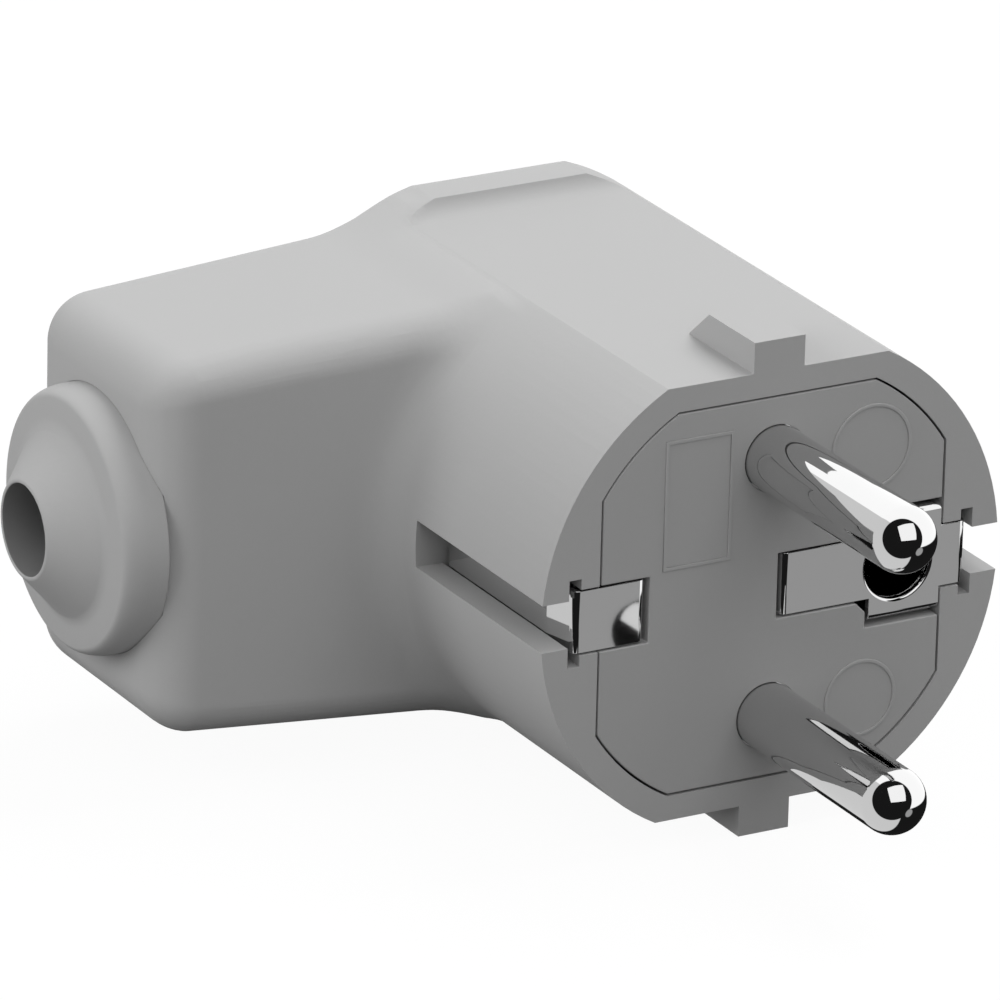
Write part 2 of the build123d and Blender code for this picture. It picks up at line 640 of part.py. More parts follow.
# Washer under the head of the fixing screw.
with BuildPart() as fixing_washer:
    with BuildSketch(Plane.XZ.offset(-FIXING_SEAT_Y)):
        Circle(WASHER_R)
        Circle(FIXING_R + HOLE_FIT, mode=Mode.SUBTRACT)
    extrude(amount=-WASHER_T)
fixing_washer.part.label = "fixing_washer"
export_step(fixing_washer.part, "parts/fixing_washer.step")

# Fixing screw: pulls the carrier onto its seat from the back.
with BuildPart() as fixing_screw:
    with BuildSketch(Plane.XZ.offset(-FIXING_TIP_Y)):
        Circle(FIXING_R)
    extrude(amount=-(FIXING_SEAT_Y + WASHER_T - FIXING_TIP_Y))
    with BuildSketch(Plane.XZ.offset(-(FIXING_SEAT_Y + WASHER_T))):
        Circle(FIXING_HEAD_R)
    extrude(amount=-FIXING_HEAD_H)
    with BuildSketch(Plane.XZ.offset(-(FIXING_SEAT_Y + WASHER_T + FIXING_HEAD_H))):
        Rectangle(2 * FIXING_HEAD_R + CUT, SLOT_W)
    extrude(amount=SLOT_DEPTH, mode=Mode.SUBTRACT)
fixing_screw.part.label = "fixing_screw"
export_step(fixing_screw.part, "parts/fixing_screw.step")

# Cord clamp bar with a shallow groove across its rear face for the cord.
with BuildPart() as cord_clamp_bar:
    with BuildSketch(Plane.XZ.offset(-CLAMP_BAR_Y)):
        with Locations((-CLAMP_X, 0)):
            SlotOverall(2 * CLAMP_BAR_HALF, CLAMP_BAR_W, rotation=90)
    extrude(amount=-CLAMP_BAR_T)
    with BuildSketch(Plane.YZ.offset(-CLAMP_X)):
        with Locations((BUSHING_Y, 0)):
            Circle(CORD_R)
    extrude(amount=CLAMP_BAR_W, both=True, mode=Mode.SUBTRACT)
    with BuildSketch(Plane.XZ.offset(-CLAMP_BAR_Y)):
        with Locations((-CLAMP_X, CLAMP_HALF_PITCH), (-CLAMP_X, -CLAMP_HALF_PITCH)):
            Circle(CLAMP_SCREW_R + HOLE_FIT)
    extrude(amount=-CLAMP_BAR_T, mode=Mode.SUBTRACT)
cord_clamp_bar.part.label = "cord_clamp_bar"
export_step(cord_clamp_bar.part, "parts/cord_clamp_bar.step")

# Clamp screw, drawn in the XZ middle plane and placed on both posts.
with BuildPart() as clamp_screw:
    with BuildSketch(Plane.XZ.offset(-CLAMP_BAR_Y)):
        Circle(CLAMP_SCREW_R)
    extrude(amount=-CLAMP_SCREW_LEN)
    with BuildSketch(Plane.XZ.offset(-CLAMP_BAR_Y)):
        Circle(CLAMP_HEAD_R)
    extrude(amount=CLAMP_HEAD_H)
    with BuildSketch(Plane.XZ.offset(-(CLAMP_BAR_Y - CLAMP_HEAD_H))):
        Rectangle(2 * CLAMP_HEAD_R + CUT, SLOT_W)
    extrude(amount=-SLOT_DEPTH, mode=Mode.SUBTRACT)

for name, side in (("upper", 1), ("lower", -1)):
    placed = clamp_screw.part.moved(Location((-CLAMP_X, 0, side * CLAMP_HALF_PITCH)))
    placed.label = "clamp_screw_" + name
    export_step(placed, "parts/" + placed.label + ".step")

# Cable bushing: soft grommet with conical nose, round flange and snap barb.
with BuildPart() as cable_bushing:
    with BuildSketch(Plane.XY.shift_origin((0, BUSHING_Y, 0))):
        with BuildLine():
            Polyline(
                (-NOSE_REACH, BUSHING_BORE_R),
                (-NOSE_REACH, BUSHING_BORE_R + NOSE_RIM),
                (-NOSE_BASE_REACH, NOSE_BASE_R),
            )
            ThreePointArc(
                (-NOSE_BASE_REACH, NOSE_BASE_R),
                (-FLANGE_FRONT, FLANGE_R - FLANGE_ROUND),
                (-FLANGE_MID, FLANGE_R),
            )
            Polyline(
                (-FLANGE_MID, FLANGE_R),
                (-FLANGE_SEAT, FLANGE_R),
                (-FLANGE_SEAT, TUBE_R),
                (-TUBE_END, TUBE_R),
                (-TUBE_END, BARB_R),
                (-(TUBE_END - BARB_LEN), BARB_R),
                (-(TUBE_END - BARB_LEN - BARB_TAPER), BARB_TIP_R),
                (-(TUBE_END - BARB_LEN - BARB_TAPER), BUSHING_BORE_R),
                (-NOSE_REACH, BUSHING_BORE_R),
            )
        make_face()
    revolve(axis=Axis((0, BUSHING_Y, 0), (1, 0, 0)))
cable_bushing.part.label = "cable_bushing"
export_step(cable_bushing.part, "parts/cable_bushing.step")
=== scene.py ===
import bmesh
import bpy
from math import pi, radians
from mathutils import Matrix, Vector


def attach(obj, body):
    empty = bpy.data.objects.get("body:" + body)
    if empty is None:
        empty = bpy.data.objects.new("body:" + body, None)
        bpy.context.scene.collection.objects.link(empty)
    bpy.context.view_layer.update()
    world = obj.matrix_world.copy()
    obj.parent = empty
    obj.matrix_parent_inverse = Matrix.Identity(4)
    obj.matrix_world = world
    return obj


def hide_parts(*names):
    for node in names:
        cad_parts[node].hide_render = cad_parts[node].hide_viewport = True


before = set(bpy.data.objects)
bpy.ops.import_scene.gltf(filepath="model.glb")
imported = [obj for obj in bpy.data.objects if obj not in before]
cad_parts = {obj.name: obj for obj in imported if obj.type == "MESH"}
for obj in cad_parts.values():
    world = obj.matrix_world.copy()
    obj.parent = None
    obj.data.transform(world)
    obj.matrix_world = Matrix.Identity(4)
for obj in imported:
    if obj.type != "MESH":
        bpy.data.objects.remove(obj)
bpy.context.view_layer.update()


# ---- Housing ----
# The outer shell: one piece of light grey thermoplastic, injection moulded in a tool with a fine
# spark-eroded grain. The head has two flats with guide ribs, and the neck carries the cable.

PLASTIC_GREY = (0.373, 0.373, 0.373, 1.0)
HOUSING_EDGE = 0.00016


def moulding_grain():
    """Node group: the fine grain and faint tone shifts of a moulded surface."""
    group = bpy.data.node_groups.new("moulding_grain", "ShaderNodeTree")
    for name, kind, value in (("Tone", "NodeSocketColor", (0.4, 0.4, 0.4, 1)),
                              ("Grain size", "NodeSocketFloat", 2600.0),
                              ("Drift", "NodeSocketFloat", 0.03), ("Roughness", "NodeSocketFloat", 0.5)):
        socket = group.interface.new_socket(name, in_out="INPUT", socket_type=kind)
        socket.default_value = value
    for name, kind in (("Color", "NodeSocketColor"), ("Roughness", "NodeSocketFloat"), ("Height", "NodeSocketFloat")):
        group.interface.new_socket(name, in_out="OUTPUT", socket_type=kind)
    node, link = group.nodes.new, group.links.new
    given, out = node("NodeGroupInput"), node("NodeGroupOutput")
    place = node("ShaderNodeTexCoord")
    fine = node("ShaderNodeTexNoise")
    fine.inputs["Detail"].default_value = 3.0
    fine.inputs["Roughness"].default_value = 0.55
    link(place.outputs["Object"], fine.inputs["Vector"])
    link(given.outputs["Grain size"], fine.inputs["Scale"])
    slow = node("ShaderNodeTexNoise")
    slow.inputs["Scale"].default_value = 70.0
    slow.inputs["Detail"].default_value = 2.0
    link(place.outputs["Object"], slow.inputs["Vector"])
    mixed = node("ShaderNodeMath")
    mixed.operation = "ADD"
    link(fine.outputs["Fac"], mixed.inputs[0])
    link(slow.outputs["Fac"], mixed.inputs[1])
    centred = node("ShaderNodeMath")
    centred.operation = "SUBTRACT"
    centred.inputs[1].default_value = 1.0
    link(mixed.outputs[0], centred.inputs[0])
    swing = node("ShaderNodeMath")
    swing.operation = "MULTIPLY_ADD"
    swing.inputs[2].default_value = 1.0
    link(centred.outputs[0], swing.inputs[0])
    link(given.outputs["Drift"], swing.inputs[1])
    tint = node("ShaderNodeVectorMath")
    tint.operation = "SCALE"
    link(given.outputs["Tone"], tint.inputs[0])
    link(swing.outputs[0], tint.inputs["Scale"])
    link(tint.outputs["Vector"], out.inputs["Color"])
    rough = node("ShaderNodeMath")
    rough.operation = "MULTIPLY_ADD"
    rough.inputs[1].default_value = 0.12
    link(centred.outputs[0], rough.inputs[0])
    link(given.outputs["Roughness"], rough.inputs[2])
    link(rough.outputs[0], out.inputs["Roughness"])
    link(fine.outputs["Fac"], out.inputs["Height"])
    return group


GRAIN = moulding_grain()


def moulded_plastic(name, tone, roughness, grain_size, grain_depth):
    """Grey thermoplastic with the grain of its mould."""
    material = bpy.data.materials.new(name)
    material.use_nodes = True
    node, link = material.node_tree.nodes.new, material.node_tree.links.new
    shader = material.node_tree.nodes["Principled BSDF"]
    shader.inputs["Specular IOR Level"].default_value = 0.22
    surface = node("ShaderNodeGroup")
    surface.node_tree = GRAIN
    surface.inputs["Tone"].default_value = tone
    surface.inputs["Roughness"].default_value = roughness
    surface.inputs["Grain size"].default_value = grain_size
    link(surface.outputs["Color"], shader.inputs["Base Color"])
    link(surface.outputs["Roughness"], shader.inputs["Roughness"])
    bump = node("ShaderNodeBump")
    bump.inputs["Strength"].default_value = 1.0
    bump.inputs["Distance"].default_value = grain_depth
    link(surface.outputs["Height"], bump.inputs["Height"])
    link(bump.outputs["Normal"], shader.inputs["Normal"])
    return material


def softened_copy(node, edge, rounded=None):
    """Merged copy of a solid of the frame, its sharp edges broken as they leave a tool.

    rounded is a test for edges that get a rounding of their own first, with its size.
    """
    bm = bmesh.new()
    bm.from_mesh(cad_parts[node].data)
    bmesh.ops.remove_doubles(bm, verts=bm.verts, dist=1e-7)
    bmesh.ops.dissolve_limit(bm, angle_limit=radians(0.4), verts=bm.verts, edges=bm.edges)
    if rounded:
        test, size, steps = rounded
        bmesh.ops.bevel(bm, geom=[e for e in bm.edges if test(e)], offset=size, offset_type="OFFSET", segments=steps,
                        profile=0.5, affect="EDGES", clamp_overlap=True, material=-1)
    sharp = [e for e in bm.edges if e.is_manifold and e.calc_face_angle() > radians(28)]
    bmesh.ops.bevel(bm, geom=sharp, offset=edge, offset_type="OFFSET", segments=2, profile=0.5,
                    affect="EDGES", clamp_overlap=True, material=-1)
    for face in bm.faces:
        face.smooth = True
    mesh = bpy.data.meshes.new(node + "_skin")
    bm.to_mesh(mesh)
    bm.free()
    for layer in [a for a in mesh.attributes if a.name == "custom_normal"]:
        mesh.attributes.remove(layer)
    piece = bpy.data.objects.new(node + "_skin", mesh)
    bpy.context.scene.collection.objects.link(piece)
    even = piece.modifiers.new("even normals", "WEIGHTED_NORMAL")
    even.keep_sharp = True
    return piece


# The solid has a 1.6 mm fillet between neck and head. The photograph shows a wider, softer hollow, so
# points of the skin near both forms are drawn out, by up to 0.73 mm.
HEAD_R, HEAD_BACK, HEAD_ROUND = 0.01815, 0.0422, 0.002
FLAT_Z, LIP_Z, LIP_START, LIP_FULL = 0.01593, 0.01708, 0.0359, 0.0376
NECK_END, NECK_BEND, NECK_MEET = 0.0358, 0.0145, 0.008
NECK_HALF_END, NECK_HALF_BEND, NECK_HALF_MEET = 0.0136, 0.01503, 0.01573
NECK_DEPTH_END, NECK_DEPTH_ROOT, NECK_BACK = 0.0200, 0.0224, 0.04205
NECK_FRONT_ROUND, NECK_BACK_ROUND = 0.0027, 0.0036
HOLLOW, HOLLOW_FADE, SWELL_POWER = 0.0030, 0.0008, 1.3
JUNCTION_LOW, JUNCTION_HIGH = (-0.0222, 0.0150, -0.0174), (-0.0058, 0.0423, 0.0174)
JUNCTION_CUTS = ((0, -0.0220, -0.0060, 0.0005), (1, 0.0153, 0.0420, 0.0008), (2, -0.0150, 0.0150, 0.0010))
SKIN_DEPTH, CUT_MARGIN, PROBE, LEAST_SLOPE = 0.0001, 0.00002, 0.00001, 0.2


def top_of_head(y):
    """Height of the flat, or of the lip behind it."""
    return FLAT_Z + (LIP_Z - FLAT_Z) * min(max((y - LIP_START) / (LIP_FULL - LIP_START), 0), 1)


def off_head(p):
    """Distance of a point from the turned head with its rounded back."""
    out, behind = Vector((p.x, p.z)).length - HEAD_R + HEAD_ROUND, p.y - HEAD_BACK + HEAD_ROUND
    return Vector((max(out, 0), max(behind, 0))).length + min(max(out, behind), 0) - HEAD_ROUND


def off_neck(p):
    """Distance of a point from the neck with its rounded edges."""
    reach = -p.x
    if reach > NECK_BEND:
        half = NECK_HALF_BEND + (NECK_HALF_END - NECK_HALF_BEND) * (reach - NECK_BEND) / (NECK_END - NECK_BEND)
    else:
        share = min((NECK_BEND - reach) / (NECK_BEND - NECK_MEET), 1)
        half = NECK_HALF_BEND + (NECK_HALF_MEET - NECK_HALF_BEND) * share ** SWELL_POWER
    front = HEAD_BACK - NECK_DEPTH_ROOT - (NECK_DEPTH_END - NECK_DEPTH_ROOT) * reach / NECK_END
    if p.y > (front + NECK_BACK) / 2:
        rounding, past = NECK_BACK_ROUND, p.y - NECK_BACK + NECK_BACK_ROUND
    else:
        rounding, past = NECK_FRONT_ROUND, front + NECK_FRONT_ROUND - p.y
    above = abs(p.z) - half + rounding
    return Vector((max(past, 0), max(above, 0))).length + min(max(past, above), 0) - rounding


def hollow(p):
    """Below 0 inside the two forms and the soft hollow between them."""
    head, neck = off_head(p), off_neck(p)
    return min(head, neck) - max(HOLLOW - abs(head - neck), 0) ** 2 / (4 * HOLLOW)


def soft_junction(piece):
    """Cut the skin round the junction into small faces and draw them out to the hollow."""
    bm = bmesh.new()
    bm.from_mesh(piece.data)
    low, high = JUNCTION_LOW, JUNCTION_HIGH

    def near_junction(face):
        points = [v.co for v in face.verts]
        return (all(min(c[i] for c in points) < high[i] and max(c[i] for c in points) > low[i] for i in range(3))
                and all(min(off_head(c), off_neck(c)) > -SKIN_DEPTH for c in points)
                and any(abs(c.z) < top_of_head(c.y) - SKIN_DEPTH for c in points))

    for axis, first, last, step in JUNCTION_CUTS:
        count = int(round((last - first) / step))
        for turn in range(count + 1):
            place, across = Vector(), Vector()
            place[axis], across[axis] = first + turn * step, 1.0
            cut = [f for f in bm.faces if min(v.co[axis] for v in f.verts) < place[axis] - CUT_MARGIN
                   and max(v.co[axis] for v in f.verts) > place[axis] + CUT_MARGIN and near_junction(f)]
            geom = list({e for f in cut for e in f.edges} | {v for f in cut for v in f.verts}) + cut
            bmesh.ops.bisect_plane(bm, geom=geom, dist=1e-7, plane_co=place, plane_no=across)
    moved = {v for f in bm.faces if near_junction(f) for v in f.verts}
    for v in moved:
        if not all(low[i] < v.co[i] < high[i] for i in range(3)):
            continue
        start, top = v.co.copy(), top_of_head(v.co.y)
        for _ in range(3):
            short = hollow(v.co)
            if short >= 0:
                break
            probes = (Vector((PROBE, 0, 0)), Vector((0, PROBE, 0)), Vector((0, 0, PROBE)))
            slope = Vector([(hollow(v.co + d) - hollow(v.co - d)) / (2 * PROBE) for d in probes])
            v.co -= slope * (short / max(slope.length_squared, LEAST_SLOPE))
        fade = min(max((top - abs(start.z)) / HOLLOW_FADE, 0), 1)
        fade = fade * fade * (3 - 2 * fade)
        v.co = start.lerp(v.co, fade)
        # The back stays flat: nothing moves past it.
        v.co.y = min(v.co.y, start.y)
    for face in bm.faces:
        face.smooth = True
    bm.to_mesh(piece.data)
    bm.free()


housing_plastic = moulded_plastic("housing plastic", PLASTIC_GREY, 0.62, 2600.0, 0.000006)
housing = softened_copy("housing", HOUSING_EDGE)
soft_junction(housing)
housing.data.materials.clear()
housing.data.materials.append(housing_plastic)
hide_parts("housing")
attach(housing, "root")


# ---- Contact carrier ----
# The insert in the front of the head: moulded in the same grey plastic, flush with the face
# and pulled on its seat by one screw from the back.

CARRIER_GREY = (0.353, 0.353, 0.353, 1.0)
CARRIER_EDGE = 0.00010
PIN_HOLE_Z, PIN_HOLE_REACH, PIN_HOLE_CLOSE = 0.0095, 0.0028, 0.00023

carrier_plastic = moulded_plastic("carrier plastic", CARRIER_GREY, 0.6, 2600.0, 0.000006)
carrier = softened_copy("contact_carrier", CARRIER_EDGE)
# The front rim of each pin hole is drawn in from the solid's, so that the plastic closes on the shank.
for point in carrier.data.vertices:
    axis = Vector((0, point.co.y, PIN_HOLE_Z if point.co.z > 0 else -PIN_HOLE_Z))
    spoke = point.co - axis
    if point.co.y < 0.00015 and spoke.length < PIN_HOLE_REACH:
        point.co = axis + spoke * (1 - PIN_HOLE_CLOSE / spoke.length)
carrier.data.materials.clear()
carrier.data.materials.append(carrier_plastic)
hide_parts("contact_carrier")
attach(carrier, "root")

# Marks of the mould on the face: a bare rectangular panel and two bare round stamps, as fine raised lines.
MARK_W, MARK_RISE, MARK_SINK, MARK_EDGE = 0.00026, 0.00010, 0.00003, 0.00004
PANEL = (-0.00606, 0.00738, 0.00534, 0.00948)
STAMPS = ((0.00740, -0.00950, 0.00287), (0.00760, 0.00905, 0.00320))


def raised_panel(centre_x, centre_z, width, height):
    """Rectangular line on the face, left when the middle of a raised pad is cut away."""
    bm = bmesh.new()
    bmesh.ops.create_grid(bm, x_segments=1, y_segments=1, size=0.5)
    bmesh.ops.scale(bm, vec=(width, height, 1), verts=bm.verts)
    inner = bmesh.ops.inset_region(bm, faces=bm.faces[:], thickness=MARK_W, use_boundary=True,
                                   use_even_offset=True)
    rim = inner["faces"]
    bmesh.ops.delete(bm, geom=[f for f in bm.faces if f not in rim], context="FACES_ONLY")
    raised = bmesh.ops.extrude_face_region(bm, geom=bm.faces[:], use_keep_orig=True)
    bmesh.ops.translate(bm, vec=(0, 0, MARK_RISE + MARK_SINK),
                        verts=[v for v in raised["geom"] if isinstance(v, bmesh.types.BMVert)])
    bmesh.ops.recalc_face_normals(bm, faces=bm.faces)
    top = [e for e in bm.edges if e.calc_face_angle(0) > radians(40) and all(v.co.z > MARK_RISE / 2 for v in e.verts)]
    bmesh.ops.bevel(bm, geom=top, offset=MARK_EDGE, offset_type="OFFSET", segments=2, profile=0.5,
                    affect="EDGES", material=-1)
    bmesh.ops.rotate(bm, verts=bm.verts, cent=(0, 0, 0), matrix=Matrix.Rotation(radians(90), 3, "X"))
    bmesh.ops.translate(bm, vec=(centre_x, MARK_SINK, centre_z), verts=bm.verts)
    return bm


def raised_ring(centre_x, centre_z, radius):
    """Round line on the face: the section of the line turned once about the stamp's middle."""
    bm = bmesh.new()
    bmesh.ops.create_grid(bm, x_segments=1, y_segments=1, size=0.5)
    bmesh.ops.scale(bm, vec=(MARK_W, MARK_RISE + MARK_SINK, 1), verts=bm.verts)
    bmesh.ops.bevel(bm, geom=[v for v in bm.verts if v.co.y < 0], offset=MARK_EDGE, offset_type="OFFSET",
                    segments=2, profile=0.5, affect="VERTICES", material=-1)
    bmesh.ops.translate(bm, vec=(radius - MARK_W / 2, (MARK_SINK - MARK_RISE) / 2, 0), verts=bm.verts)
    outline = bm.edges[:]
    bmesh.ops.delete(bm, geom=bm.faces[:], context="FACES_ONLY")
    bmesh.ops.spin(bm, geom=outline, cent=(0, 0, 0), axis=(0, 1, 0), angle=2 * pi, steps=96, use_merge=True)
    bmesh.ops.remove_doubles(bm, verts=bm.verts, dist=1e-7)
    bmesh.ops.recalc_face_normals(bm, faces=bm.faces)
    bmesh.ops.translate(bm, vec=(centre_x, 0, centre_z), verts=bm.verts)
    return bm


marks = bpy.data.meshes.new("face_marks")
joined = bmesh.new()
for shape in [raised_panel(*PANEL)] + [raised_ring(*stamp) for stamp in STAMPS]:
    shape.to_mesh(marks)
    joined.from_mesh(marks)
    shape.free()
for face in joined.faces:
    face.smooth = True
joined.to_mesh(marks)
joined.free()
face_marks = bpy.data.objects.new("face_marks", marks)
bpy.context.scene.collection.objects.link(face_marks)
marks.materials.append(carrier_plastic)
even = face_marks.modifiers.new("even normals", "WEIGHTED_NORMAL")
even.keep_sharp = True
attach(face_marks, "root")


# ---- Cable bushing ----
# Soft grommet that snaps in the end wall: a conical nose with a thin lip round the hole and a
# rounded flange that lies in a shallow recess.

BUSHING_AXIS_Y = 0.0318
BORE_R = 0.0033
BUSHING_STEPS = 144
BUSHING_OUTLINE = (
    (-0.04138, BORE_R, 0.00010), (-0.04138, 0.00354, 0.00010), (-0.03844, 0.00685, 0.00045),
    (-0.03834, 0.00820, 0.00060), (-0.03812, 0.00960, 0.00180), (-0.03490, 0.00960, 0.00015),
    (-0.03490, 0.00680, 0), (-0.03340, 0.00680, 0), (-0.03340, 0.00730, 0.00015), (-0.03190, 0.00730, 0.00015),
    (-0.03000, 0.00620, 0.00015), (-0.03000, BORE_R, 0.00020),
)
# Painted shade: the faces inside the bore get a darker grey than the bushing, standing for the shadow deep in the
# hole.
BORE_PAINTED_SHADE_GREY = (0.21, 0.21, 0.21, 1.0)

bushing_plastic = moulded_plastic("bushing plastic", PLASTIC_GREY, 0.66, 2000.0, 0.000008)
bore_painted_shade = moulded_plastic("bushing plastic with painted shade in the bore", BORE_PAINTED_SHADE_GREY, 0.8, 2000.0, 0.000008)
bm = bmesh.new()
corners = [bm.verts.new((x, BUSHING_AXIS_Y + r, 0)) for x, r, _ in BUSHING_OUTLINE]
for here, after in zip(corners, corners[1:] + corners[:1]):
    bm.edges.new((here, after))
bm.verts.ensure_lookup_table()
for corner, (_, _, rounding) in zip(corners, BUSHING_OUTLINE):
    if rounding:
        bmesh.ops.bevel(bm, geom=[corner], offset=rounding, offset_type="OFFSET",
                        segments=max(3, int(rounding / 0.00015)), profile=0.5, affect="VERTICES", material=-1)
bmesh.ops.spin(bm, geom=bm.edges[:], cent=(0, BUSHING_AXIS_Y, 0), axis=(1, 0, 0), angle=2 * pi,
               steps=BUSHING_STEPS, use_merge=True)
bmesh.ops.remove_doubles(bm, verts=bm.verts, dist=1e-7)
bmesh.ops.recalc_face_normals(bm, faces=bm.faces)
for face in bm.faces:
    face.smooth = True
    middle = face.calc_center_median()
    # Faces inside the bore take the material with the painted shade.
    if Vector((0, middle.y - BUSHING_AXIS_Y, middle.z)).length < BORE_R + 0.00002:
        face.material_index = 1
mesh = bpy.data.meshes.new("cable_bushing_skin")
bm.to_mesh(mesh)
bm.free()
bushing = bpy.data.objects.new("cable_bushing_skin", mesh)
bpy.context.scene.collection.objects.link(bushing)
mesh.materials.append(bushing_plastic)
mesh.materials.append(bore_painted_shade)
even = bushing.modifiers.new("even normals", "WEIGHTED_NORMAL")
even.keep_sharp = True
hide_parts("cable_bushing")
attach(bushing, "root")


# ---- Line pins ----
# Two solid brass pins, turned on a bar automatic with a ball end, polished and nickel plated.
# Each is held in the carrier by its shoulder, and the wider rear end is the screw terminal.

PIN_NICKEL = (0.69, 0.69, 0.69, 1.0)


def plating_drift():
    """Node group: faint cloudiness and fine handling marks in a plated surface."""
    group = bpy.data.node_groups.new("plating_drift", "ShaderNodeTree")
    for name, kind, value in (("Tone", "NodeSocketColor", (0.6, 0.6, 0.6, 1)), ("Roughness", "NodeSocketFloat", 0.05),
                              ("Cloud size", "NodeSocketFloat", 260.0), ("Cloud", "NodeSocketFloat", 0.03)):
        socket = group.interface.new_socket(name, in_out="INPUT", socket_type=kind)
        socket.default_value = value
    for name, kind in (("Color", "NodeSocketColor"), ("Roughness", "NodeSocketFloat"), ("Height", "NodeSocketFloat")):
        group.interface.new_socket(name, in_out="OUTPUT", socket_type=kind)
    node, link = group.nodes.new, group.links.new
    given, out = node("NodeGroupInput"), node("NodeGroupOutput")
    place = node("ShaderNodeTexCoord")
    cloud = node("ShaderNodeTexNoise")
    cloud.inputs["Detail"].default_value = 4.0
    link(place.outputs["Object"], cloud.inputs["Vector"])
    link(given.outputs["Cloud size"], cloud.inputs["Scale"])
    marks_of_use = node("ShaderNodeTexNoise")
    marks_of_use.inputs["Scale"].default_value = 5200.0
    marks_of_use.inputs["Detail"].default_value = 1.0
    link(place.outputs["Object"], marks_of_use.inputs["Vector"])
    centred = node("ShaderNodeMath")
    centred.operation = "SUBTRACT"
    centred.inputs[1].default_value = 0.5
    link(cloud.outputs["Fac"], centred.inputs[0])
    swing = node("ShaderNodeMath")
    swing.operation = "MULTIPLY_ADD"
    swing.inputs[2].default_value = 1.0
    link(centred.outputs[0], swing.inputs[0])
    link(given.outputs["Cloud"], swing.inputs[1])
    tint = node("ShaderNodeVectorMath")
    tint.operation = "SCALE"
    link(given.outputs["Tone"], tint.inputs[0])
    link(swing.outputs[0], tint.inputs["Scale"])
    link(tint.outputs["Vector"], out.inputs["Color"])
    dull = node("ShaderNodeMath")
    dull.operation = "MULTIPLY_ADD"
    dull.inputs[1].default_value = 0.06
    dull.use_clamp = True
    link(centred.outputs[0], dull.inputs[0])
    link(given.outputs["Roughness"], dull.inputs[2])
    link(dull.outputs[0], out.inputs["Roughness"])
    link(marks_of_use.outputs["Fac"], out.inputs["Height"])
    return group


PLATING = plating_drift()


def plated_metal(name, tone, roughness, mark_depth):
    """Metal with a thin plated coat."""
    material = bpy.data.materials.new(name)
    material.use_nodes = True
    node, link = material.node_tree.nodes.new, material.node_tree.links.new
    shader = material.node_tree.nodes["Principled BSDF"]
    shader.inputs["Metallic"].default_value = 1.0
    surface = node("ShaderNodeGroup")
    surface.node_tree = PLATING
    surface.inputs["Tone"].default_value = tone
    surface.inputs["Roughness"].default_value = roughness
    link(surface.outputs["Color"], shader.inputs["Base Color"])
    link(surface.outputs["Roughness"], shader.inputs["Roughness"])
    bump = node("ShaderNodeBump")
    bump.inputs["Distance"].default_value = mark_depth
    link(surface.outputs["Height"], bump.inputs["Height"])
    link(bump.outputs["Normal"], shader.inputs["Normal"])
    return material


# The solid's shoulder stands 0.1 mm proud of the face. The photograph shows none, so it is drawn
# just behind the face, where the picture and the solid differ.
SHOULDER_RISE, SHOULDER_COVER = 0.00010, 0.00012

pin_nickel = plated_metal("nickel plate on pins", PIN_NICKEL, 0.035, 0.0000001)
for node in ("live_pin", "neutral_pin"):
    pin = softened_copy(node, 0.00004)
    for point in pin.data.vertices:
        if -SHOULDER_RISE - 0.00001 < point.co.y < 0:
            point.co.y = SHOULDER_COVER
    pin.data.materials.clear()
    pin.data.materials.append(pin_nickel)
    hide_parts(node)
    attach(pin, "root")


# ---- Earth strap ----
# One strip of sprung brass, stamped, pierced for the earth pin and folded round the carrier,
# then nickel plated. Its two legs are the side contacts and lean in at the front as a lead-in.

STRAP_NICKEL = (0.66, 0.66, 0.66, 1.0)

strap_nickel = plated_metal("nickel plate on strip", STRAP_NICKEL, 0.05, 0.0000001)
EARTH_HOLE_X, EARTH_HOLE_R, EARTH_HOLE_ROLL = 0.01014, 0.0026, 0.00036
STRAP_FACE_Y = 0.0001


def hole_rim(edge):
    """Edges round the front of the earth hole."""
    return all(abs(Vector((v.co.x - EARTH_HOLE_X, v.co.z)).length - EARTH_HOLE_R) < 0.00001
               and abs(v.co.y - STRAP_FACE_Y) < 0.00001 for v in edge.verts)


strap = softened_copy("earth_strap", 0.00008, (hole_rim, EARTH_HOLE_ROLL, 6))
strap.data.materials.clear()
strap.data.materials.append(strap_nickel)
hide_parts("earth_strap")
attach(strap, "root")


# ---- Earth sleeve ----
# Rolled and slit spring tube behind the hole in the strap, which grips the earth pin of a socket.

sleeve = softened_copy("earth_sleeve", 0.00005)
sleeve.data.materials.clear()
sleeve.data.materials.append(strap_nickel)
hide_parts("earth_sleeve")
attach(sleeve, "root")


# ---- Terminal screws and wire leaves ----
# Zinc plated steel screws press sprung bronze leaves on the cores of the cord. They are closed in
# by the housing once the carrier is on its seat.

zinc = plated_metal("zinc plate on steel", (0.56, 0.57, 0.58, 1), 0.27, 0.000002)
bronze = plated_metal("sprung bronze", (0.62, 0.42, 0.19, 1), 0.22, 0.000001)
for node, metal, slot in (("live_terminal_screw", zinc, "screw"), ("neutral_terminal_screw", zinc, "screw"),
                          ("live_wire_leaf", bronze, "leaf"), ("neutral_wire_leaf", bronze, "leaf")):
    piece = softened_copy(node, 0.00006)
    piece.data.materials.clear()
    piece.data.materials.append(metal)
    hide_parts(node)
    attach(piece, "root")


# ---- Earth terminal ----
# A captive nut, a clamp plate and a slotted screw on the bridge of the strap, all steel.

for node, slot in (("earth_terminal_screw", "screw"), ("earth_nut", "screw"), ("earth_clamp_plate", "strap")):
    piece = softened_copy(node, 0.00006)
    piece.data.materials.clear()
    piece.data.materials.append(zinc)
    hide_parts(node)
    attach(piece, "root")


# ---- Rear fixing screw ----
# Slotted steel screw in the counterbore at the back, on a plain washer. It runs through the
# housing's pillar in a turned brass insert and so holds carrier and housing together.

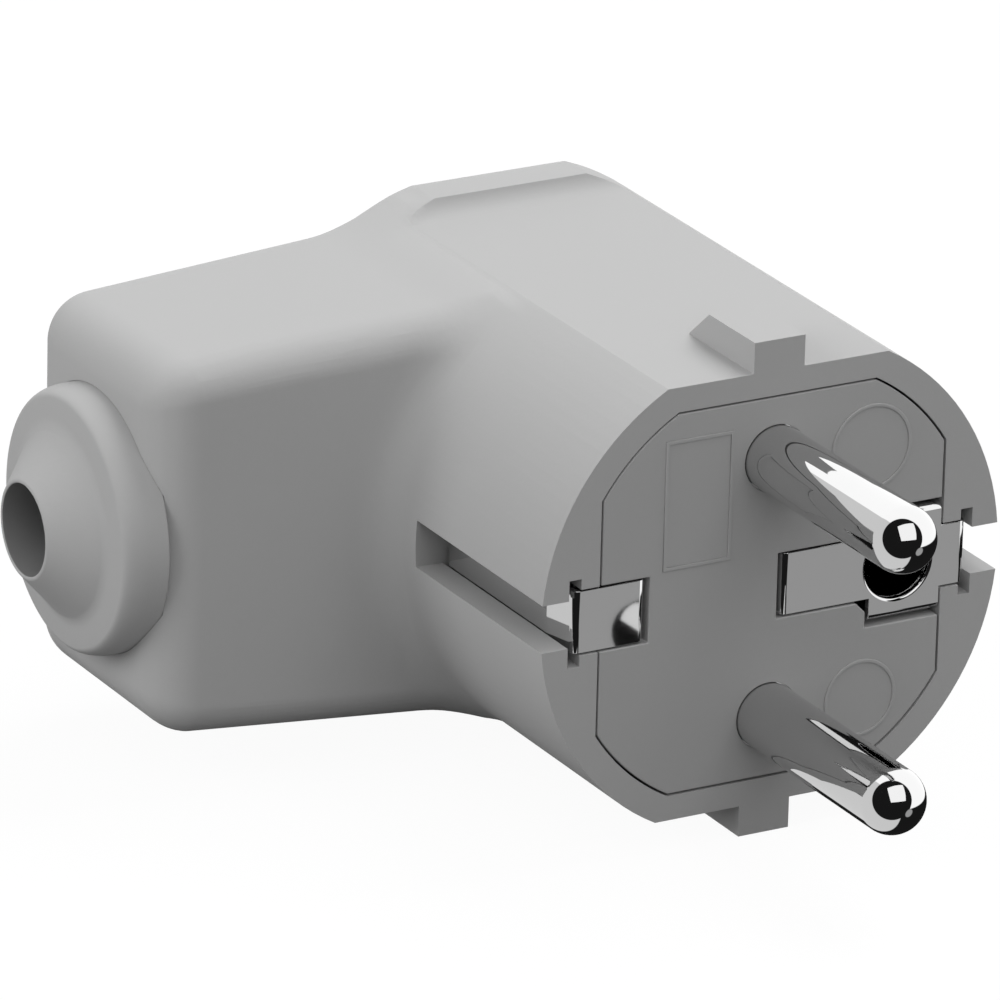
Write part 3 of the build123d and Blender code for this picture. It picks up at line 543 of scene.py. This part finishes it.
brass = plated_metal("turned brass", (0.66, 0.48, 0.21, 1), 0.2, 0.000001)
for node, metal, slot in (("fixing_screw", zinc, "screw"), ("fixing_washer", zinc, "screw"),
                          ("threaded_insert", brass, "insert")):
    piece = softened_copy(node, 0.00008)
    piece.data.materials.clear()
    piece.data.materials.append(metal)
    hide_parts(node)
    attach(piece, "root")


# ---- Cord clamp ----
# A saddle bar of the same moulding compound, pulled on two posts by thread-cutting screws.

clamp_bar = softened_copy("cord_clamp_bar", 0.00015)
clamp_bar.data.materials.clear()
clamp_bar.data.materials.append(housing_plastic)
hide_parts("cord_clamp_bar")
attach(clamp_bar, "root")
for node in ("clamp_screw_upper", "clamp_screw_lower"):
    screw = softened_copy(node, 0.00006)
    screw.data.materials.clear()
    screw.data.materials.append(zinc)
    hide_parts(node)
    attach(screw, "root")


# ---- Studio ----
# Pale floor under the plug, a white surround and two soft boxes.

FLOOR_Z = -0.01821

floor_shape = bmesh.new()
bmesh.ops.create_grid(floor_shape, x_segments=1, y_segments=1, size=3.0)
floor_mesh = bpy.data.meshes.new("floor")
bmesh.ops.translate(floor_shape, verts=floor_shape.verts, vec=(0, 0, FLOOR_Z))
floor_shape.to_mesh(floor_mesh)
floor_shape.free()
floor = bpy.data.objects.new("floor", floor_mesh)
bpy.context.scene.collection.objects.link(floor)
floor_paint = bpy.data.materials.new("floor paint")
floor_paint.use_nodes = True
nodes, links = floor_paint.node_tree.nodes, floor_paint.node_tree.links
nodes["Principled BSDF"].inputs["Base Color"].default_value = (0.20, 0.20, 0.20, 1)
nodes["Principled BSDF"].inputs["Roughness"].default_value = 0.9
glow = nodes.new("ShaderNodeEmission")
glow.inputs["Color"].default_value = (1, 1, 1, 1)
catch = nodes.new("ShaderNodeBsdfDiffuse")
catch.inputs["Color"].default_value = (0.86, 0.86, 0.86, 1)
seen = nodes.new("ShaderNodeMixShader")
seen.inputs["Fac"].default_value = 0.05
links.new(glow.outputs[0], seen.inputs[1])
links.new(catch.outputs[0], seen.inputs[2])
clear = nodes.new("ShaderNodeBsdfTransparent")
path = nodes.new("ShaderNodeLightPath")
lit = nodes.new("ShaderNodeMixShader")
links.new(path.outputs["Is Camera Ray"], lit.inputs["Fac"])
links.new(nodes["Principled BSDF"].outputs[0], lit.inputs[1])
links.new(seen.outputs[0], lit.inputs[2])
mirrored = nodes.new("ShaderNodeMixShader")
links.new(path.outputs["Is Glossy Ray"], mirrored.inputs["Fac"])
links.new(lit.outputs[0], mirrored.inputs[1])
links.new(clear.outputs[0], mirrored.inputs[2])
links.new(mirrored.outputs[0], nodes["Material Output"].inputs["Surface"])
floor.data.materials.append(floor_paint)

# The room that the plating mirrors: white walls and ceiling, a black floor, black cloth round the
# camera, and a grey card low in front.
AMBIENT = 0.43
VIEW_SIDE = (-0.46049325, -0.81008295, 0.36292091)
CARD_SIDE = (0.4530, -0.7852, -0.4228)

world = bpy.data.worlds.new("white room")
bpy.context.scene.world = world
world.use_nodes = True
nodes, links = world.node_tree.nodes, world.node_tree.links
ambient = nodes["Background"]
ambient.inputs["Color"].default_value = (1, 1, 1, 1)
ambient.inputs["Strength"].default_value = AMBIENT
room = nodes.new("ShaderNodeBackground")
looking = nodes.new("ShaderNodeTexCoord")


def facing(side, near, far):
    """1 where the ray points within a cone round a side of the room, 0 outside it."""
    dot = nodes.new("ShaderNodeVectorMath")
    dot.operation = "DOT_PRODUCT"
    dot.inputs[1].default_value = side
    links.new(looking.outputs["Generated"], dot.inputs[0])
    step = nodes.new("ShaderNodeMapRange")
    step.interpolation_type = "SMOOTHSTEP"
    step.inputs["From Min"].default_value = far
    step.inputs["From Max"].default_value = near
    links.new(dot.outputs["Value"], step.inputs["Value"])
    return step.outputs["Result"]


def hang(behind, mask, grey):
    """A card of an even grey in front of what is there already."""
    mix = nodes.new("ShaderNodeMix")
    mix.data_type = "FLOAT"
    mix.inputs["B"].default_value = grey
    links.new(mask, mix.inputs["Factor"])
    if behind is None:
        mix.inputs["A"].default_value = 1.0
    else:
        links.new(behind, mix.inputs["A"])
    return mix.outputs["Result"]


below = nodes.new("ShaderNodeMath")
below.operation = "MULTIPLY"
links.new(facing((0, 0, -1), 0.24, 0.20), below.inputs[0])
links.new(facing((1, 0, 0), 0.07, 0.03), below.inputs[1])
wall = hang(None, facing((0.8, 0, 0.6), 0.07, 0.05), 1.7)
wall = hang(wall, below.outputs[0], 0.015)
wall = hang(wall, facing(VIEW_SIDE, 0.39, 0.36), 0.015)
wall = hang(wall, facing(CARD_SIDE, 0.985, 0.975), 0.52)
path = nodes.new("ShaderNodeLightPath")
glossy = nodes.new("ShaderNodeMix")
glossy.data_type = "FLOAT"
glossy.inputs["A"].default_value = 1.0
links.new(path.outputs["Is Glossy Ray"], glossy.inputs["Factor"])
links.new(wall, glossy.inputs["B"])
links.new(glossy.outputs["Result"], room.inputs["Strength"])
first = nodes.new("ShaderNodeMath")
first.operation = "MAXIMUM"
links.new(path.outputs["Is Camera Ray"], first.inputs[0])
links.new(path.outputs["Is Glossy Ray"], first.inputs[1])
second = nodes.new("ShaderNodeMath")
second.operation = "MAXIMUM"
links.new(first.outputs[0], second.inputs[0])
links.new(path.outputs["Is Transmission Ray"], second.inputs[1])
mix = nodes.new("ShaderNodeMixShader")
links.new(second.outputs[0], mix.inputs["Fac"])
links.new(ambient.outputs[0], mix.inputs[1])
links.new(room.outputs[0], mix.inputs[2])
links.new(mix.outputs[0], nodes["World Output"].inputs["Surface"])


def soft_box(name, place, aim, width, height, watts, mirrored):
    """Square studio lamp that looks at a point."""
    light = bpy.data.lights.new(name, "AREA")
    light.shape = "RECTANGLE"
    light.size, light.size_y, light.energy = width, height, watts
    lamp = bpy.data.objects.new(name, light)
    bpy.context.scene.collection.objects.link(lamp)
    turn = (Vector(aim) - Vector(place)).to_track_quat("-Z", "Y")
    lamp.matrix_world = Matrix.Translation(place) @ turn.to_matrix().to_4x4()
    lamp.visible_glossy = mirrored
    return lamp


soft_box("top box", (0.30, 0.10, 0.54), (-0.01, 0.02, 0), 0.45, 0.45, 3.25, False)
soft_box("left box", (-0.58, 0.12, 0.27), (-0.01, 0.02, 0), 0.45, 0.45, 2.25, False)
soft_box("front box", (-0.09, -0.668, 0.597), (0, 0, 0), 0.9, 0.9, 3.2, True)

right = Vector((0.87360821, -0.48606048, 0.0235311))
up = Vector((0.15733613, 0.32788844, 0.93152268))
back = Vector((-0.46049325, -0.81008295, 0.36292091))
lens = bpy.data.cameras.new("view")
lens.lens, lens.sensor_width, lens.clip_start = 390.4516, 36.0, 0.05
camera = bpy.data.objects.new("view", lens)
bpy.context.scene.collection.objects.link(camera)
turned = Matrix((right, up, back)).transposed().to_4x4()
camera.matrix_world = Matrix.Translation((-0.35773587, -0.59133012, 0.27500056)) @ turned
bpy.context.scene.camera = camera
bpy.context.scene.view_settings.view_transform = "Standard"
